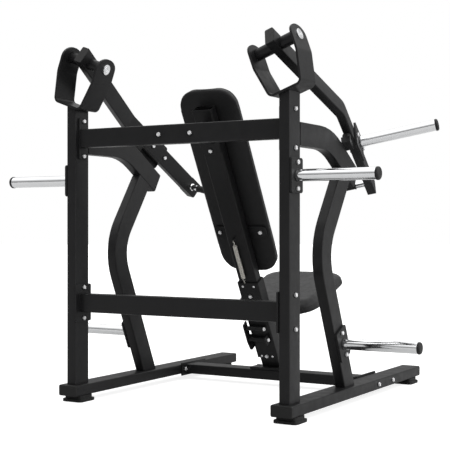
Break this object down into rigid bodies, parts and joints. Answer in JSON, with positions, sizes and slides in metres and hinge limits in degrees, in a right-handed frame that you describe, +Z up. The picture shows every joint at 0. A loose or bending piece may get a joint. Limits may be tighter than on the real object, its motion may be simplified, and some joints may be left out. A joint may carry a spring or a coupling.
{
  "type": "chest press machine",
  "caption": "Plate-loaded incline chest press frame with independent converging press arms, reclined back pad, sliding tilted seat and weight horns.",
  "frame": {"origin": "on the floor, under the middle of the machine's box", "axes": "+Z up; the user sits facing -Y; +X is the user's left side"},
  "size_m": [1.8826, 1.4514, 1.6251],
  "materials": {
    "frame_paint": "satin textured black powder coat",
    "horn_chrome": "bright chrome plated tube",
    "pin_chrome": "polished plated steel",
    "end_plastic": "fine textured black moulded plastic",
    "foot_rubber": "matte black moulded rubber",
    "grip_rubber": "ribbed black rubber grip",
    "pad_vinyl": "grained black upholstery vinyl over foam",
    "spring_zinc": "bright zinc plated spring wire"
  },
  "bodies": {
    "frame": {"left_base_rail": "frame_paint", "left_rear_rail_cap": "end_plastic", "left_front_rail_cap": "end_plastic", "left_rear_foot": "foot_rubber", "left_front_foot": "foot_rubber", "left_upright": "frame_paint", "left_brace": "frame_paint", "left_front_leg": "frame_paint", "left_yoke": "frame_paint", "left_pivot_shaft": "pin_chrome", "left_arm_stop": "foot_rubber", "left_upper_storage_horn_mount": "frame_paint", "left_upper_storage_horn_sleeve": "horn_chrome", "left_upper_storage_horn_cap": "end_plastic", "left_lower_storage_horn_mount": "frame_paint", "left_lower_storage_horn_sleeve": "horn_chrome", "left_lower_storage_horn_cap": "end_plastic", "right_base_rail": "frame_paint", "right_rear_rail_cap": "end_plastic", "right_front_rail_cap": "end_plastic", "right_rear_foot": "foot_rubber", "right_front_foot": "foot_rubber", "right_upright": "frame_paint", "right_brace": "frame_paint", "right_front_leg": "frame_paint", "right_yoke": "frame_paint", "right_pivot_shaft": "pin_chrome", "right_arm_stop": "foot_rubber", "right_upper_storage_horn_mount": "frame_paint", "right_upper_storage_horn_sleeve": "horn_chrome", "right_upper_storage_horn_cap": "end_plastic", "right_lower_storage_horn_mount": "frame_paint", "right_lower_storage_horn_sleeve": "horn_chrome", "right_lower_storage_horn_cap": "end_plastic", "front_cross_tube": "frame_paint", "upper_beam": "frame_paint", "lower_beam": "frame_paint", "seat_post": "frame_paint", "post_bracket": "frame_paint", "back_pad": "pad_vinyl", "back_pad_lower_bracket": "frame_paint", "back_pad_upper_bracket": "frame_paint", "counterbalance_spring": "spring_zinc"},
    "left_arm": {"left_press_arm": "frame_paint", "left_arm_cap": "end_plastic", "left_loading_horn_mount": "frame_paint", "left_loading_horn_sleeve": "horn_chrome", "left_loading_horn_cap": "end_plastic", "left_grip_bar": "pin_chrome", "left_grip_sleeve": "grip_rubber"},
    "right_arm": {"right_press_arm": "frame_paint", "right_arm_cap": "end_plastic", "right_loading_horn_mount": "frame_paint", "right_loading_horn_sleeve": "horn_chrome", "right_loading_horn_cap": "end_plastic", "right_grip_bar": "pin_chrome", "right_grip_sleeve": "grip_rubber"},
    "seat": {"seat_carriage": "frame_paint", "seat_pad": "pad_vinyl"},
    "seat_latch": {"seat_latch": "frame_paint"}
  },
  "joints": [
    {"name": "left_press", "type": "hinge", "parent": "frame", "child": "left_arm", "pos_m": [0.487, 0.649, 1.544], "axis": [-0.9397, 0, -0.342], "range_deg": [0, 40]},
    {"name": "right_press", "type": "hinge", "parent": "frame", "child": "right_arm", "pos_m": [-0.487, 0.649, 1.544], "axis": [-0.9397, 0, 0.342], "range_deg": [0, 40]},
    {"name": "seat_height", "type": "slide", "parent": "frame", "child": "seat", "axis": [0, 0.4787, 0.878], "range_m": [0, 0.15], "deforming": ["counterbalance_spring"]},
    {"name": "latch_lever", "type": "hinge", "parent": "seat", "child": "seat_latch", "pos_m": [0.02, -0.10418, 0.23935], "axis": [-1, 0, 0], "range_deg": [0, 10], "stiffness_Nm_per_rad": 6}
  ]
}
